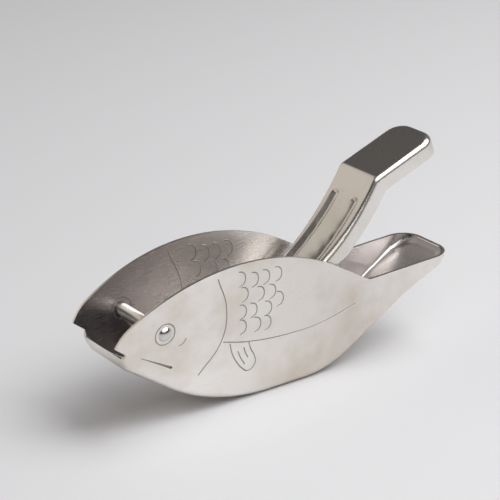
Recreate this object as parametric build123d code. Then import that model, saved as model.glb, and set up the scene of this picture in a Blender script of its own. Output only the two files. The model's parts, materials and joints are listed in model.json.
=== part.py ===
from build123d import *
import os
from math import asin, atan2, cos, degrees, pi, radians, sin, sqrt, tan

# Fish-shaped lemon squeezer: an open sheet trough, a bent press lever inside it and one hinge rivet.
# Lengths are millimetres and angles degrees. Sketches measure x from the mouth tip towards the tail
# and z up from the mouth tip; the finished pieces are then stood on the belly, about their middle.

# Sheet, fits and cuts
sheet = 0.8
lever_sheet = 0.8
pin_clearance = 0.05
hole_clearance = 0.02
overrun = 8.0

# Trough, seen from the side
body_length = 126.0
belly_depth = 30.7
crest_run = 42.5
crest_rise = 16.1
back_radius = 70.0
back_fall = 31.0
nose_run = 5.5
nose_radius = 14.0
nose_turn = 31.0
mouth_run = 4.2
mouth_drop = 2.9
mouth_radius = 0.4
lip_run = 3.6
lip_gap = 1.689
chin_run = 4.8
chin_slope = 62.0
chin_round = 3.6
jaw_share = 0.297
belly_flat = 13.0
rump_radius = 31.0
tail_slope = 33.7
tail_radius = 60.0
tray_slope = 26.5
tray_length = 15.9
tail_drop = 3.0

# Trough, seen from the end and from above
mouth_width = 23.2
wall_flare = 6.6
belly_round = 2.8
tail_round = 7.0
end_lean = 8.0
rim_drop = 1.9
rim_slope = 1.8
rim_round = 2.0

# Hinge rivet
pin_run = 17.0
pin_rise = 0.3
pin_diameter = 2.7
rivet_head = 4.4
rivet_dome = 1.3

# Press lever, bent from one strip: rolled eye, web, press plate with its neck, fold and paddle
eye_gap = 0.93
plate_gap = 2.93
paddle_gap = 1.68
web_fall = 42.3
web_length = 10.2
heel_radius = 8.0
neck_radius = 76.4
neck_length = 79.74
fold_radius = 3.0
paddle_rise = 20.8
paddle_length = 24.4
paddle_round = 6.0
edge_round = 2.0
flange_depth = 5.5
plate_flange = 2.6
flange_start = 5.3
flange_grow = 34.7
flange_full = 57.3
shoulder_run = 2.0
shoulder_length = 2.5
waist_run = 45.0
waist_length = 26.0
waist_round = 150.0

# Flutes pressed into the neck
flute_inset = 3.4
flute_width = 3.2
flute_floor = 1.2
flute_depth = 0.9
flute_start = 28.0
flute_end = 71.7

# Flats that touch a bend's radius, as shares of it: one at half the turn, and one on either side of that
flat_share = 2 - sqrt(2)
side_flat_share = sqrt(2) - 1 - tan(pi / 16)


def wall_half(rise):
    """Half the width over the walls at a height above the mouth tip."""
    return mouth_width / 2 + rise * tan(radians(wall_flare))


def heading(angle):
    """Unit step along an angle above the x axis, in radians."""
    return Vector(cos(angle), sin(angle))


def below(angle):
    """Unit step square to a heading in radians, on its lower side."""
    return Vector(sin(angle), -cos(angle))


def across(face, width):
    """Side-view face made a solid, centred on the middle plane."""
    return extrude(Plane.XZ * face, amount=width / 2, both=True)


def bent(block, rims, radius):
    """Bend along a chain of edges, in three flats that touch its radius; joints between flats stay."""
    middle = radius * flat_share
    cut = chamfer(rims, middle)
    brinks = new_edges(block, combined=cut)
    brinks = brinks.filter_by(lambda e: e.geom_type != GeomType.LINE or e.length > 2 * middle)
    return chamfer(brinks, radius * side_flat_share)


def tail_end(rise):
    """Run of the tail's end wall at a height above the mouth tip."""
    return body_length + rise * tan(radians(end_lean))


def lip_drop():
    """Depth of the pouring lip's upper edge below the mouth tip."""
    return mouth_drop + lip_gap


def chin_drop():
    """Depth of the chin's foot below the mouth tip, down the chin from the lip."""
    slope = radians(chin_slope)
    return lip_drop() + (chin_run - lip_run) * tan(slope) + sheet / cos(slope)


def trough_block():
    """Solid block of the trough's outside, lower edges still sharp: open top and open mouth run long."""
    top = crest_rise + overrun
    end = Vector(tail_end(-tail_drop), -tail_drop)
    tray = PolarLine(end, tray_length, 180 + tray_slope)
    bend = JernArc(tray @ 1, tray % 1, tail_radius, tail_slope - tray_slope)
    rump_rise = rump_radius * (1 - cos(radians(tail_slope)))
    stem_length = ((bend @ 1).Y + belly_depth - rump_rise) / sin(radians(tail_slope))
    stem = PolarLine(bend @ 1, stem_length, 180 + tail_slope)
    rump = JernArc(stem @ 1, stem % 1, rump_radius, -tail_slope)
    belly = PolarLine(rump @ 1, belly_flat, 180)
    chin_foot = Vector(chin_run, -chin_drop())
    chord = chin_foot - belly @ 1
    chord_angle = atan2(chord.Y, -chord.X)
    jaw_angle = chord_angle + (radians(chin_slope) - chord_angle) * jaw_share
    jaw_radius = chord.length * sin(jaw_angle - chord_angle) / (1 - cos(jaw_angle))
    jaw = JernArc(belly @ 1, belly % 1, jaw_radius, -degrees(jaw_angle))
    throat = Line(jaw @ 1, chin_foot)
    chin = PolarLine(chin_foot, (chin_run - lip_run + sheet) / cos(radians(chin_slope)), 180 - chin_slope)
    sill = JernArc(chin @ 1, chin % 1, chin_round, chin_slope)
    spout = PolarLine(sill @ 1, (sill @ 1).X + overrun, 180)
    lid = Polyline(spout @ 1, (-overrun, top), (tail_end(top), top), end)
    side = make_face([tray, bend, stem, rump, belly, jaw, throat, chin, sill, spout, lid])
    side = fillet(side.vertices().sort_by_distance(chin_foot)[0], chin_round)
    low = -belly_depth - overrun
    section = Polygon((wall_half(low), low), (wall_half(top), top), (-wall_half(top), top),
                      (-wall_half(low), low), align=None)
    block = across(side, 4 * mouth_width) & extrude(Plane.YZ * section, amount=2 * body_length, both=True)
    end_wall = block.faces().sort_by(Axis.X)[-1]
    return fillet(end_wall.edges().filter_by(Axis.Y, reverse=True), tail_round)


def lower_edges(block):
    """Edges between the trough's walls and its bottom, from the mouth round the tail."""
    tail = tail_end(-tail_drop) - tray_length / 2
    return block.edges().filter_by(lambda e: e.bounding_box().max.Z < crest_rise
                                   and (abs(e.center().Y) > sheet or e.center().X > tail))


def rim_height(run):
    """Height of the tail's rim line at a run from the mouth tip."""
    return -rim_drop + (run - rim_start()) * tan(radians(rim_slope))


def back_end():
    """Point where the round back turns straight towards the tail."""
    step = heading(radians(90 - back_fall))
    return Vector(crest_run, crest_rise - back_radius) + step * back_radius


def rim_start():
    """Run at which the falling back meets the tail's rim."""
    return back_end().X + (back_end().Y + rim_drop) / tan(radians(back_fall))


def trim_face():
    """Side view of all that stays: the back and rim above, the open mouth in front."""
    center = Vector(crest_run, crest_rise - back_radius)
    nose_angle = degrees(asin((crest_run - nose_run) / back_radius))
    back = CenterArc(center, back_radius, 90 - back_fall, back_fall + nose_angle)
    nose = JernArc(back @ 1, back % 1, nose_radius, nose_turn)
    notch = Vector(rim_start(), -rim_drop)
    far = body_length + overrun
    deep = -belly_depth - overrun
    edge = Polyline(nose @ 1, (mouth_run, -mouth_drop), (lip_run, -lip_drop()), (lip_run, deep),
                    (far, deep), (far, rim_height(far)), notch, back @ 0)
    face = make_face([back, nose, edge])
    corner = face.vertices().sort_by_distance((mouth_run, -mouth_drop))[0]
    face = fillet(corner, mouth_radius)
    corner = face.vertices().sort_by_distance(notch)[0]
    return fillet(corner, rim_round)


def pin_bar(diameter, length):
    """Round bar along the hinge axis."""
    place = Plane((pin_run, 0, pin_rise), z_dir=(0, 1, 0))
    return place * Cylinder(diameter / 2, length)


def trough_body():
    """Sheet between the block and its core, trimmed to the fish's outline and bored for the rivet."""
    block = trough_block()
    core = offset(block, amount=-sheet, kind=Kind.INTERSECTION)
    skin = fillet(lower_edges(block), belly_round)
    hollow = chamfer(lower_edges(core), (belly_round - sheet) * flat_share)
    body = (skin - hollow) & across(trim_face(), 4 * mouth_width)
    return body - pin_bar(pin_diameter + 2 * hole_clearance, 4 * mouth_width)


def hinge_rivet():
    """Pin through both walls, with a dome seated flat on each leaning wall."""
    reach = wall_half(pin_rise) + pin_diameter / 2 * tan(radians(wall_flare))
    rivet = pin_bar(pin_diameter, 2 * reach)
    sphere = (rivet_head ** 2 / 4 + rivet_dome ** 2) / (2 * rivet_dome)
    cap = Pos(0, 0, rivet_dome - sphere) * Rot(90, 0, 0) * Sphere(sphere) & Pos(0, 0, sphere) * Box(
        2 * rivet_head, 2 * rivet_head, 2 * sphere)
    for side in (-1, 1):
        seat = Plane((pin_run, side * wall_half(pin_rise), pin_rise),
                     z_dir=(0, side * cos(radians(wall_flare)), -sin(radians(wall_flare))))
        rivet += seat * cap
    return rivet


def width_between(gap):
    """Width that leaves a gap to either wall, inside the trough at the height of the hinge."""
    return 2 * (wall_half(pin_rise) - sheet / cos(radians(wall_flare)) - gap)


def eye_bore():
    """Inner radius of the lever's rolled eye."""
    return pin_diameter / 2 + pin_clearance


def strip_points():
    """Both ends of the web on the strip's upper face, and the centres of the heel and the neck."""
    fall = -radians(web_fall)
    web_top = Vector(pin_run, pin_rise) + below(fall) * eye_bore()
    web_foot = web_top + heading(fall) * web_length
    heel_center = web_foot - below(fall) * heel_radius
    neck_center = heel_center + below(0) * (heel_radius - neck_radius)
    return web_top, web_foot, heel_center, neck_center


def along_neck(length):
    """Slope of the neck, in degrees, at a length from the heel."""
    return degrees(length / neck_radius)


def strip_face():
    """Side view of the rolled eye, the web and the heel, as far as the flanges begin."""
    web_top, web_foot, heel_center, neck_center = strip_points()
    thick = below(-radians(web_fall)) * lever_sheet
    web = make_face(Polyline(web_top, web_foot, web_foot + thick, web_top + thick, close=True))
    heel = arc_band(heel_center, heel_radius, lever_sheet, -web_fall, 0)
    foot = arc_band(neck_center, neck_radius, lever_sheet, 0, along_neck(flange_start))
    ring = Circle(eye_bore() + lever_sheet) - Circle(eye_bore())
    return Pos(pin_run, pin_rise) * ring + web + heel + foot


def arc_band(center, radius, thick, start, end):
    """Band of a bend that curls upward, between two headings, with its upper face at the radius."""
    upper = CenterArc(center, radius, start - 90, end - start)
    lower = CenterArc(center, radius + thick, start - 90, end - start)
    return make_face([upper, lower, Line(upper @ 0, lower @ 0), Line(upper @ 1, lower @ 1)])


def channel_face(inset, plate_depth, depth):
    """Side view of the flanged part: upper faces lowered by inset, flanges down to the two depths."""
    center = strip_points()[-1]
    neck_rise = along_neck(neck_length)
    first = along_neck(flange_start)
    full = along_neck(flange_full)
    ramp = heading(radians(paddle_rise))
    under = below(radians(paddle_rise))
    upper = CenterArc(center, neck_radius + inset, first - 90, neck_rise - first)
    fold = JernArc(upper @ 1, upper % 1, fold_radius - inset, paddle_rise - neck_rise)
    paddle = PolarLine(fold @ 1, paddle_length - inset, paddle_rise)
    low_end = paddle @ 1 + under * (depth - inset)
    along = (low_end - center).dot(ramp)
    away = (low_end - center).dot(under)
    reach = neck_radius + depth
    corner = low_end - ramp * (along - sqrt(reach ** 2 - away ** 2))
    corner_angle = 90 + degrees(atan2(corner.Y - center.Y, corner.X - center.X))
    lower = CenterArc(center, reach, full - 90, corner_angle - full)
    plate = CenterArc(center, neck_radius + plate_depth, first - 90, along_neck(flange_grow) - first)
    return make_face([upper, fold, paddle, Line(paddle @ 1, low_end), Line(low_end, lower @ 1), lower,
                      Line(lower @ 0, plate @ 1), plate, Line(plate @ 0, upper @ 0)])


def plan_prism(inset):
    """Lever seen from above, as a tall block: wide at the eye, narrow at the plate, wide again."""
    front = pin_run - overrun
    back = pin_run + web_length + neck_length + paddle_length + overrun
    shoulder = pin_run + shoulder_run
    waist = pin_run + waist_run
    eye = width_between(eye_gap)
    plate = width_between(plate_gap)
    paddle = width_between(paddle_gap)
    stations = [(front, eye), (shoulder, eye), (shoulder + shoulder_length, plate), (waist, plate),
                (waist + waist_length, paddle), (back, paddle)]
    near = [(run, -width / 2 + inset) for run, width in stations]
    far = [(run, width / 2 - inset) for run, width in reversed(stations)]
    plan = make_face(Polyline(*near, *far, close=True))
    waists = plan.vertices().filter_by(lambda v: waist - overrun < v.X < waist + waist_length + overrun)
    return extrude(fillet(waists, waist_round), amount=back, both=True)


def flutes(top, swell):
    """Two bars along the neck that press its flutes, from a depth below its face, grown by swell."""
    center = strip_points()[-1]
    slope = (flute_width - flute_floor) / 2 / flute_depth
    deep = flute_depth + swell
    floor_half = flute_floor / 2 + swell * tan(atan2(1, slope) / 2)
    brim_half = floor_half + (deep - top) * slope
    bar = Polygon((-brim_half, -top), (brim_half, -top), (floor_half, -deep), (-floor_half, -deep),
                  align=None)
    apart = width_between(plate_gap) - 2 * flute_inset
    round_end = Pos(0, 0, -(top + deep) / 2) * Cone(floor_half, brim_half, deep - top, arc_size=180,
                                                    align=(Align.CENTER, Align.MIN, Align.CENTER))

    def stand_at(length, side, facing):
        turn = length / neck_radius
        foot = center + below(turn) * neck_radius
        up = -below(turn)
        place = (foot.X, side * apart / 2, foot.Y)
        return Plane(place, x_dir=(0, facing, 0), z_dir=(up.X, 0, up.Y))

    bars = Part()
    for side in (-1, 1):
        section = stand_at(flute_start, side, 1) * Rot(90, 0, 0) * bar
        axis = Axis((center.X, 0, center.Y), (0, -1, 0))
        bars += revolve(section, axis, along_neck(flute_end - flute_start))
        bars += stand_at(flute_start, side, 1) * round_end
        bars += stand_at(flute_end, side, -1) * round_end
    return bars


def channel_block(inset, plate_depth, depth):
    """Flanged part of the lever as a solid block, its rim edges rounded, drawn in by inset."""
    face = channel_face(inset, plate_depth, depth)
    block = across(face, 4 * mouth_width) & plan_prism(inset)
    ramp = heading(radians(paddle_rise))
    along = Axis((0, 0, 0), (ramp.X, 0, ramp.Y))
    end = block.faces().sort_by(along)[-1]
    corners = end.edges().filter_by(Axis.Y, reverse=True)
    block = fillet(corners, paddle_round - inset)
    tops = block.faces().filter_by(lambda f: f.normal_at().Z > 0.5)
    rims = tops.edges().filter_by(Axis.Y, reverse=True) + tops.edges().sort_by(along)[-1:]
    return bent(block, rims, edge_round - inset)


def press_lever():
    """Flanged channel with its flutes, joined to the web and the eye that turns on the pin."""
    envelope = channel_block(0, plate_flange, flange_depth)
    hollow = channel_block(lever_sheet, plate_flange + overrun, flange_depth + overrun)
    lever = envelope - hollow + flutes(lever_sheet / 2, lever_sheet) - flutes(-flute_depth, 0)
    lever += across(strip_face(), 4 * mouth_width) & plan_prism(0)
    return lever - pin_bar(2 * eye_bore(), 2 * mouth_width)


pieces = {"trough_body": trough_body(), "hinge_rivet": hinge_rivet(), "press_lever": press_lever()}
boxes = [piece.bounding_box() for piece in pieces.values()]
front = min(box.min.X for box in boxes)
rear = max(box.max.X for box in boxes)
stand = Pos(-(front + rear) / 2, 0, belly_depth)
print("hinge axis at", (stand * Pos(pin_run, 0, pin_rise)).position)
os.makedirs("parts", exist_ok=True)
for name, piece in pieces.items():
    export_step(stand * piece, f"parts/{name}.step")
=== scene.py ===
# %% [markdown]
# A lemon squeezer in the shape of a fish, pressed from stainless sheet. One sheet is folded into an open
# trough: its two walls are the fish's sides, the mouth pours and the tail is a small tray. A bent lever
# turns on a rivet whose domed heads are the eyes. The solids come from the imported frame, and this lesson
# adds what a solid model leaves out: the drawing pressed into the walls, the finishes, light and camera.

# %% Load the frame
import json
import math
import bpy
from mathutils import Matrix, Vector


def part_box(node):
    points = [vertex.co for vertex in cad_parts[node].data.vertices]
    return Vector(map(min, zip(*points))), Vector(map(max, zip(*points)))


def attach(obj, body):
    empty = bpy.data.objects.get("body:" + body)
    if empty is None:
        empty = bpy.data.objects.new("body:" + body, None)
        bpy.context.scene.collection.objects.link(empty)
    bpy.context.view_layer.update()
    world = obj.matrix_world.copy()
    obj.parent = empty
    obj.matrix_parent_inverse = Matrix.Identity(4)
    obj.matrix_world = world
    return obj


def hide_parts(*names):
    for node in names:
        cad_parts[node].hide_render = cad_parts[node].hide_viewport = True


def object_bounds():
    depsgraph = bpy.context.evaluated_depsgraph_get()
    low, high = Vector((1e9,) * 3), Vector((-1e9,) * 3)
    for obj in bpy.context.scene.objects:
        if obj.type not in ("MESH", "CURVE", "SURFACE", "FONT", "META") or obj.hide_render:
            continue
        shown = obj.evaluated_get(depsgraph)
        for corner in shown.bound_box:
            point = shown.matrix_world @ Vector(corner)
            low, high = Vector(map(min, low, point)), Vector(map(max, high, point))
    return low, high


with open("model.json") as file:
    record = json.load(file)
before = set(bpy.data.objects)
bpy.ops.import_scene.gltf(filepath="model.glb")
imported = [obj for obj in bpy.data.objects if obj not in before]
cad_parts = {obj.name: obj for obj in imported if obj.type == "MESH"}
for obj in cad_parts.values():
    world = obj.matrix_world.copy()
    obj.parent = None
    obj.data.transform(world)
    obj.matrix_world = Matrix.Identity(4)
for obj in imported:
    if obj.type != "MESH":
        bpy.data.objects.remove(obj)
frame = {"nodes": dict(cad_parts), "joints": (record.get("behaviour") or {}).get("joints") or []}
cad_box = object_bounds()
MM = 0.001
weld = 0.001 * MM
hinge = Vector(frame["joints"][0]["pos_m"])
print("CAD box", [[round(v, 4) for v in corner] for corner in cad_box], "hinge", hinge)

# %% [markdown]
# Every shader below is written as plain arithmetic. A small class wraps an output socket, so that
# `1 - mask` or `0.3 + 0.1 * grain` adds the Math nodes by itself, and one method adds any other node.
# Wiring the same thing by hand in the node editor gives the same material, only with more clicks.


# %% A socket that does arithmetic
class Sock:
    def __init__(self, tree, out):
        self.tree = tree
        self.out = out

    def node(self, kind, settings=None, **inputs):
        """Adds a node, sets its settings and then its sockets, and returns its first output."""
        made = self.tree.nodes.new(kind)
        for name, value in (settings or {}).items():
            if name == "stops":
                ramp = made.color_ramp.elements
                while len(ramp) < len(value):
                    ramp.new(0.5)
                for element, (place, colour) in zip(ramp, value):
                    element.position = place
                    element.color = (*colour, 1)
            else:
                setattr(made, name, value)
        for name, value in inputs.items():
            key = int(name[1:]) if name[0] == "i" and name[1:].isdigit() else name.replace("_", " ")
            if isinstance(value, Sock):
                self.tree.links.new(value.out, made.inputs[key])
            else:
                made.inputs[key].default_value = value
        return Sock(self.tree, made.outputs[0])

    def other(self, name):
        """Another output of the same node."""
        return Sock(self.tree, self.out.node.outputs[name])

    def maths(self, operation, a, b):
        return self.node("ShaderNodeMath", {"operation": operation}, i0=a, i1=b)

    def __add__(self, other):
        return self.maths("ADD", self, other)

    def __sub__(self, other):
        return self.maths("SUBTRACT", self, other)

    def __rsub__(self, other):
        return self.maths("SUBTRACT", other, self)

    def __mul__(self, other):
        return self.maths("MULTIPLY", self, other)

    __radd__ = __add__
    __rmul__ = __mul__


def fade(value, start, end):
    """Rises smoothly from 0 to 1 while a value goes from start to end."""
    smooth = {"interpolation_type": "SMOOTHSTEP"}
    return value.node("ShaderNodeMapRange", smooth, Value=value, From_Min=start, From_Max=end)


print("shader arithmetic ready")

# %% [markdown]
# Bare stainless sheet is bright metal with a fine grain that runs along the coil it was rolled on, here
# from mouth to tail. It could be an anisotropic shader, but a real grain in the bump and the roughness
# survives an export. The grain is noise stretched along X. A second, broad noise gives the cloudy patches
# that handling and cleaning leave, a little warmer and a little duller than the rest. Painted shade, where
# a finish has it, is a darker tint at shares of the way from mouth to tail.


# %% Stainless finish
grain, grain_depth, grain_stretch = 0.35 * MM, 0.02 * MM, 0.06
grain_strength, grain_dulling, patch_dulling = 0.015, 0.07, 0.12
patch_start, patch_full = 0.42, 0.66
unshaded = (1.0, 1.0, 1.0)


def stainless(name, clean, handled, roughness, patch, shade_stops=None):
    """Rolled sheet: a stretched grain in roughness and bump, broad patches and painted shade in the colour.
    """
    material = bpy.data.materials.new(name)
    material.use_nodes = True
    tree = material.node_tree
    shader = tree.nodes["Principled BSDF"]
    shader.inputs["Metallic"].default_value = 1.0
    place = Sock(tree, tree.nodes.new("ShaderNodeTexCoord").outputs["Object"])
    along = place.node("ShaderNodeMapping", Vector=place, Scale=(grain_stretch, 1.0, 1.0))
    lines = place.node("ShaderNodeTexNoise", Vector=along, Scale=1 / grain, Detail=3.0)
    cloud = place.node("ShaderNodeTexNoise", Vector=place, Scale=1 / patch, Detail=4.0, Roughness=0.6)
    patches = {"stops": [(patch_start, clean), (patch_full, handled)]}
    tint = place.node("ShaderNodeValToRGB", patches, Fac=cloud)
    if shade_stops:
        # Painted shade: a darker tint at shares of the way from mouth to tail.
        run = place.node("ShaderNodeSeparateXYZ", Vector=place)
        share = (run - cad_box[0][0]) * (1 / (cad_box[1][0] - cad_box[0][0]))
        shade_tint = place.node("ShaderNodeValToRGB", {"stops": shade_stops}, Fac=share)
        multiply = {"data_type": "RGBA", "blend_type": "MULTIPLY"}
        tint = place.node("ShaderNodeMix", multiply, i0=1.0, i6=tint, i7=shade_tint).other(2)
    dull = roughness + grain_dulling * (lines - 0.5) + patch_dulling * (cloud - 0.5)
    bump = place.node("ShaderNodeBump", Height=lines, Strength=grain_strength, Distance=grain_depth)
    for socket, value in (("Base Color", tint), ("Roughness", dull), ("Normal", bump)):
        tree.links.new(value.out, shader.inputs[socket])
    return material


# Painted shade inside the trough: darker at the mouth and darkest at the tray's far end.
inner_painted_shade = [(0.0, (0.56, 0.56, 0.58)), (0.27, unshaded), (0.95, unshaded), (1.0, (0.3, 0.3, 0.32))]
# Painted shade outside: a little darker over the middle of the fish's length.
middle_painted_shade = [(0.25, unshaded), (0.50, (0.90, 0.885, 0.865)), (0.72, (0.89, 0.88, 0.865)),
                (0.90, unshaded)]
satin = stainless("satin sheet", (0.85, 0.825, 0.795), (0.70, 0.645, 0.575), 0.30, 26 * MM, middle_painted_shade)
# The inside's copy of the finish, which carries the painted shade inside the trough.
shaded_inside = stainless("satin inside, painted shade", (0.82, 0.785, 0.775), (0.73, 0.69, 0.675), 0.28, 22 * MM,
                        inner_painted_shade)
half_bright = stainless("half-bright strip", (0.76, 0.735, 0.70), (0.69, 0.66, 0.62), 0.26, 18 * MM)
polished = stainless("polished rivet", (0.68, 0.67, 0.66), (0.60, 0.59, 0.58), 0.22, 6 * MM)
# A darker finish for the pressed lines: painted shade in the grooves and on the ridges behind them.
shaded_line = stainless("pressed line, painted shade", (0.40, 0.38, 0.36), (0.32, 0.30, 0.28), 0.45, 10 * MM)
finishes = (satin, shaded_inside, half_bright, polished, shaded_line)
print("finishes", [m.name for m in finishes])

# %% [markdown]
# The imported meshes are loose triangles, one patch per face of the solid, so light would break at every
# seam between two patches. Each node gets a stand-in: a copy whose doubled points are merged. The copy
# keeps every size of the solid, and it is the copy that is cut and shaded, since a CAD node stays as it is.


# %% Stand-ins for the three nodes
def only(obj):
    """Makes one object the whole selection, and the active one."""
    bpy.ops.object.select_all(action="DESELECT")
    obj.select_set(True)
    bpy.context.view_layer.objects.active = obj


def stand_in(node, material):
    """A merged copy of a CAD node's mesh."""
    only(frame["nodes"][node])
    bpy.ops.object.duplicate()
    piece = bpy.context.active_object
    piece.name = node + "_finished"
    piece.parent = None
    for key in list(piece.keys()):
        del piece[key]
    only(piece)
    bpy.ops.object.mode_set(mode="EDIT")
    bpy.ops.mesh.select_all(action="SELECT")
    bpy.ops.mesh.customdata_custom_splitnormals_clear()
    bpy.ops.mesh.remove_doubles(threshold=weld)
    bpy.ops.object.mode_set(mode="OBJECT")
    piece.data.materials.clear()
    piece.data.materials.append(material)
    return piece


trough = stand_in("trough_body", satin)
lever = stand_in("press_lever", half_bright)
rivet = stand_in("hinge_rivet", polished)
print("stand-ins", [(p.name, len(p.data.vertices)) for p in (trough, lever, rivet)])

# %% [markdown]
# The inside of the trough gets its own copy of the finish, which carries painted shade: darker at the
# mouth and darkest at the tray's far end, where the inside lies in shade. The outside keeps the plain
# finish. Inner faces are found by where they point: towards a line along the middle of the trough, level
# with the top of its back. The sheet's cut edges stand square to the walls and are left out, so they stay
# bright.

# %% Painted shade on the trough's inside
trough.data.materials.append(shaded_inside)
back_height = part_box("trough_body")[1][2]
edge_place, rim_level = 9.5 * MM, 20 * MM
faces_inward, faces_along, faces_up = 0.2, 0.2, 0.95
inside = 0
for face in trough.data.polygons:
    inward = Vector((0, -face.center.y, back_height - face.center.z)).normalized()
    wall_edge = abs(face.normal.y) < faces_along and abs(face.center.y) > edge_place
    rim_edge = face.normal.z > faces_up and face.center.z > rim_level
    if face.normal.dot(inward) > faces_inward and not wall_edge and not rim_edge:
        # Inner faces take the copy with painted shade.
        face.material_index = 1
        inside += 1
print("inner faces", inside, "of", len(trough.data.polygons))

# %% [markdown]
# The drawing sits on the leaning wall, so its plane is measured from the mesh instead of being typed:
# the near wall is the largest face that looks towards -Y. Marks are then written in millimetres along
# and above the eye, as one would draw them on a flat sheet before it is folded.

# %% Measure the near wall
faces_near = -0.98
walls = [f for f in trough.data.polygons if f.normal.y < faces_near and f.center.y < 0]
near = max(walls, key=lambda f: f.area)
outward = near.normal.copy()
up_wall = Vector((1, 0, 0)).cross(outward) * -1
reach = (near.center - hinge).dot(outward) / outward.y
eye = hinge + Vector((0, reach, 0))
print("wall leans", round(math.degrees(math.asin(outward.z)), 2), "eye at", eye, "up", up_wall)

# %% [markdown]
# A punch presses each line of the drawing into the sheet, a rounded groove outside and its back as a low
# ridge inside. A line is modelled as a curve with a round bevel, which is what the punch's edge would be,
# and the curve becomes a mesh that can be cut out of the wall.


# %% A line of the drawing as a round bar
line_steps, round_steps = 10, 2


def bar(points, thick, lift, radii=None):
    """A round bar through points on the wall (mm from the eye), raised off it; a ring if its ends meet."""
    closed = points[0] == points[-1]
    points = points[:-1] if closed else points
    bpy.ops.object.select_all(action="DESELECT")
    bpy.ops.curve.primitive_bezier_curve_add(location=(0, 0, 0))
    curve = bpy.context.active_object
    spline = curve.data.splines[0]
    spline.bezier_points.add(len(points) - 2)
    for index, (along, above) in enumerate(points):
        point = spline.bezier_points[index]
        climb = above * MM / up_wall.z
        point.co = eye + Vector((along * MM, 0, 0)) + up_wall * climb + outward * lift
        point.handle_left_type = "AUTO"
        point.handle_right_type = "AUTO"
        point.radius = radii[index] if radii else 1.0
    spline.use_cyclic_u = closed
    curve.data.resolution_u = line_steps
    curve.data.bevel_depth = thick
    curve.data.bevel_resolution = round_steps
    curve.data.use_fill_caps = not closed
    only(curve)
    bpy.ops.object.convert(target="MESH")
    return bpy.context.active_object


print("line steps", line_steps, "round steps", round_steps)

# %% [markdown]
# The drawing itself: rows of scales behind the gill, the gill's bow, the line along the side, the fin
# with two rays, a short mark on the cheek and the ring round the eye. Scales all have one shape, so only
# their upper ends are listed. The mouth is a single stroke that widens towards its corner. Lines that touch
# are shared out over two punches, because bars that cross one another within a tool cut badly.

# %% The drawing's lines
scale_tops = [(24.6, 13.5), (29.3, 12.2), (33.4, 12.0), (37.8, 11.8), (26.0, 8.1), (31.9, 6.9), (36.1, 6.5),
              (39.2, 3.3), (25.8, 2.4), (29.7, 2.0), (35.1, 1.2), (26.2, -2.7), (31.5, -3.2), (35.3, -3.7)]
scale_arc = [(0, 0), (1.7, -0.6), (2.6, -2.4), (2.2, -4.2), (0.6, -5.1)]
eye_ring, ring_step = 3.3, 45
scales = [[(x + dx, z + dz) for dx, dz in scale_arc] for x, z in scale_tops]
gill = [(17.4, 13.1), (21.2, 2.2), (20.0, -8.2), (12.5, -17.2)]
side_line = [(20.8, -8.5), (30.1, -10.9), (46.7, -12.6), (57.7, -12.1), (70.1, -9.2)]
fin = [(23.3, -9.7), (24.5, -13.6), (26.5, -17.1), (28.6, -19.6), (30.5, -20.9), (32.1, -20.5),
       (33.2, -18.7), (32.8, -16.6), (31.2, -13.7), (30.2, -11.0)]
fin_rays = [[(26.4, -13.1), (27.7, -15.8), (29.3, -18.3)], [(28.5, -12.4), (29.3, -14.4), (30.3, -16.3)]]
cheek = [(5.0, -5.2), (6.5, -4.6), (7.5, -3.2)]
turns = [math.radians(angle) for angle in range(0, 360, ring_step)]
ring = [(eye_ring * math.cos(turn), eye_ring * math.sin(turn)) for turn in turns]
mouth = [(-7.9, -5.5), (-2.5, -8.6), (3.0, -11.8)]
mouth_swell = [0.7, 1.2, 2.0]
lowest_row = 3
first_punch = scales[:-lowest_row] + [gill, side_line, *fin_rays, cheek, ring + ring[:1]]
second_punch = scales[-lowest_row:] + [fin]
print("lines", len(first_punch) + len(second_punch) + 1)

# %% [markdown]
# Both walls carry the drawing, so it is made once and mirrored across the middle plane. A mirrored mesh
# is inside out, so doubles are merged and normals recalculated before it is used to cut.


# %% Mirror the drawing onto both walls
def both_walls(bars):
    """Joins the bars, mirrors a copy of them across the trough and returns both as one mesh."""
    bpy.ops.object.select_all(action="DESELECT")
    for one in bars:
        one.select_set(True)
    bpy.context.view_layer.objects.active = bars[0]
    bpy.ops.object.join()
    near_side = bpy.context.active_object
    bpy.ops.object.duplicate()
    far_side = bpy.context.active_object
    only(far_side)
    bpy.ops.transform.mirror(constraint_axis=(False, True, False), center_override=(0, 0, 0))
    bpy.ops.object.transform_apply(location=True, rotation=True, scale=True)
    near_side.select_set(True)
    bpy.ops.object.join()
    both = bpy.context.active_object
    bpy.ops.object.mode_set(mode="EDIT")
    bpy.ops.mesh.select_all(action="SELECT")
    bpy.ops.mesh.remove_doubles(threshold=weld)
    bpy.ops.mesh.normals_make_consistent(inside=False)
    bpy.ops.object.mode_set(mode="OBJECT")
    both.data.materials.clear()
    both.data.materials.append(shaded_line)
    return both


print("mirror plane y = 0, points merged within", weld / MM, "mm")

# %% [markdown]
# The grooves are cut by a boolean, which leaves true geometry that catches light from any side, where a
# bump would vanish in a silhouette. The ridges are joined on in the same way. New faces, in the grooves
# and on the ridges, take a darker finish: painted shade, so that the thin lines read dark.


# %% Press the drawing into the walls
def combine(piece, tool, operation):
    """Applies a boolean of the tool to the piece and deletes the tool."""
    only(piece)
    bpy.ops.object.modifier_add(type="BOOLEAN")
    step = piece.modifiers[-1]
    step.operation = operation
    step.object = tool
    step.solver = "EXACT"
    step.material_mode = "TRANSFER"
    bpy.ops.object.modifier_apply(modifier=step.name)
    only(tool)
    bpy.ops.object.delete()


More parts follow.
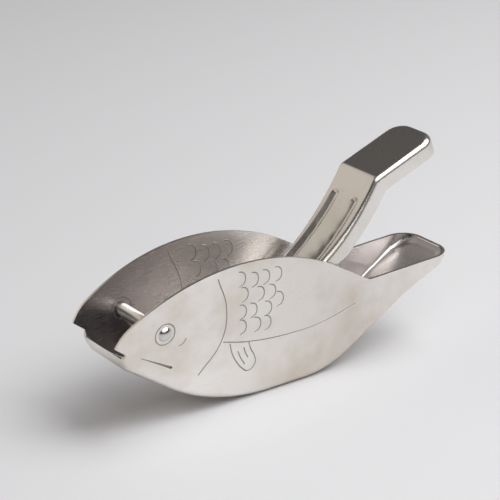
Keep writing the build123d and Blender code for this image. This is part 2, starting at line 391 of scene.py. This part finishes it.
groove_thick, groove_lift = 0.21 * MM, 0.06 * MM
ridge_thick, ridge_lift = 0.34 * MM, -0.56 * MM
for punch in (first_punch, second_punch):
    grooves = [bar(points, groove_thick, groove_lift) for points in punch]
    if punch is first_punch:
        grooves.append(bar(mouth, groove_thick, groove_lift, mouth_swell))
    combine(trough, both_walls(grooves), "DIFFERENCE")
    ridges = [bar(points, ridge_thick, ridge_lift) for points in punch]
    combine(trough, both_walls(ridges), "UNION")
print("trough with its drawing", len(trough.data.polygons), [m.name for m in trough.data.materials])

# %% [markdown]
# The solids make their bends in a few flats. Smooth shading up to a wide angle turns these flats back
# into bends, while a cut edge of the sheet, which is square, stays crisp. Normals weighted by area keep
# the large walls flat to the eye. Then each piece is tied to its body and stands for its node.


# %% Shade the pieces and tie them to their bodies
def shade(piece, angle):
    """Smooth shading below an angle, with large faces kept flat."""
    only(piece)
    bpy.ops.object.shade_smooth_by_angle(angle=math.radians(angle))
    bpy.ops.object.modifier_add(type="WEIGHTED_NORMAL")
    piece.modifiers[-1].keep_sharp = True
    bpy.ops.object.modifier_apply(modifier=piece.modifiers[-1].name)


bend_angle = 52
for piece, node, body, slot in ((trough, "trough_body", "body", "trough_steel"),
                                (lever, "press_lever", "lever", "lever_steel"),
                                (rivet, "hinge_rivet", "body", "rivet_steel")):
    shade(piece, bend_angle)
    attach(piece, body)
    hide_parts(node)
    print(piece.name, "rides on", body, "finish", slot)

# %% [markdown]
# The stage is a plain pale floor. It matters more here than under a painted piece, because the near wall
# and the flanges lean so that they mirror it: their brightness is the floor's.

# %% Floor
floor_size, floor_roughness, floor_colour = 6, 0.6, (0.755, 0.76, 0.785, 1)
bpy.ops.object.select_all(action="DESELECT")
bpy.ops.mesh.primitive_plane_add(size=floor_size, location=(0, 0, 0))
floor = bpy.context.active_object
floor.name = "floor"
floor_paint = bpy.data.materials.new("pale floor")
floor_paint.use_nodes = True
floor_shader = floor_paint.node_tree.nodes["Principled BSDF"]
floor_shader.inputs["Base Color"].default_value = floor_colour
floor_shader.inputs["Roughness"].default_value = floor_roughness
floor.data.materials.append(floor_paint)
print("floor", floor.dimensions[:2])

# %% [markdown]
# Bare metal shows the room. This one is dim, with a wide warm window behind and to the left: the neck
# mirrors the window, while the thumb paddle and the inside of the trough mirror the dim side. The room is
# a formula of direction, so no picture is needed: x runs along the fish, y away from the viewer, z up.

# %% Room
world = bpy.data.worlds.new("studio room")
world.use_nodes = True
tree = world.node_tree
toward = Sock(tree, tree.nodes.new("ShaderNodeTexCoord").outputs["Generated"])
x_part = toward.node("ShaderNodeSeparateXYZ", Vector=toward)
y_part = x_part.other("Y")
z_part = x_part.other("Z")
window_right, window_front, window_top = (0.10, -0.12), (0.0, 0.35), (0.88, 0.66)
horizon_rise, horizon_level = (0.30, 0.0), 0.80
behind_rise, behind_level = (-0.35, 0.25), 0.09
dim, warm = (0.030, 0.030, 0.033), (0.68, 0.63, 0.575)
window = fade(x_part, *window_right) * fade(y_part, *window_front) * fade(z_part, *window_top)
horizon = fade(z_part, *horizon_rise) * horizon_level
behind = fade(y_part, *behind_rise) * behind_level
brightness = horizon + behind + window * (1 - horizon)
glow = toward.node("ShaderNodeValToRGB", {"stops": [(0.0, dim), (1.0, warm)]}, Fac=brightness)
tree.links.new(glow.out, tree.nodes["Background"].inputs["Color"])
bpy.context.scene.world = world
print("room nodes", len(tree.nodes))

# %% [markdown]
# Two soft lamps do the lighting. The key hangs high on the right and a little in front, so the shadow
# falls under the mouth and behind it. The second hangs high in front: rounded edges and flutes that tip
# forward mirror it, and that draws the bright line along the paddle.


# %% Lamps
lamp_aim = Vector((0, 0, 30 * MM))


def lamp(name, place, width, depth, watts, colour):
    """A rectangular soft lamp that faces the squeezer."""
    bpy.ops.object.select_all(action="DESELECT")
    bpy.ops.object.light_add(type="AREA", location=place)
    light = bpy.context.active_object
    light.name = name
    light.data.shape = "RECTANGLE"
    light.data.size = width
    light.data.size_y = depth
    light.data.energy = watts
    light.data.color = colour
    light.rotation_euler = (lamp_aim - Vector(place)).to_track_quat("-Z", "Y").to_euler()


lamp("key", place=(0.50, -0.30, 0.95), width=0.9, depth=0.9, watts=11.2, colour=(1.0, 1.0, 1.0))
lamp("front", place=(-0.12, -0.66, 0.85), width=1.0, depth=0.8, watts=4.0, colour=(1.0, 0.98, 0.95))

# %% [markdown]
# The camera stands where the picture was taken: in front and to the left, looking down a little, with a
# long lens. It was fitted to the squeezer's outline, so its numbers are measured ones.

# %% Camera
camera_place = (-0.33054, -0.43940, 0.26824)
camera_tilt, camera_turn = 67.61, -36.29
sensor_mm, lens_mm = 36, 144
nearest_seen = 10 * MM
bpy.ops.object.select_all(action="DESELECT")
bpy.ops.object.camera_add(location=camera_place)
camera = bpy.context.active_object
camera.rotation_euler = (math.radians(camera_tilt), 0, math.radians(camera_turn))
camera.data.sensor_width = sensor_mm
camera.data.lens = lens_mm
camera.data.clip_start = nearest_seen
bpy.context.scene.camera = camera
bpy.context.scene.view_settings.view_transform = "Standard"
print("camera", camera.location)
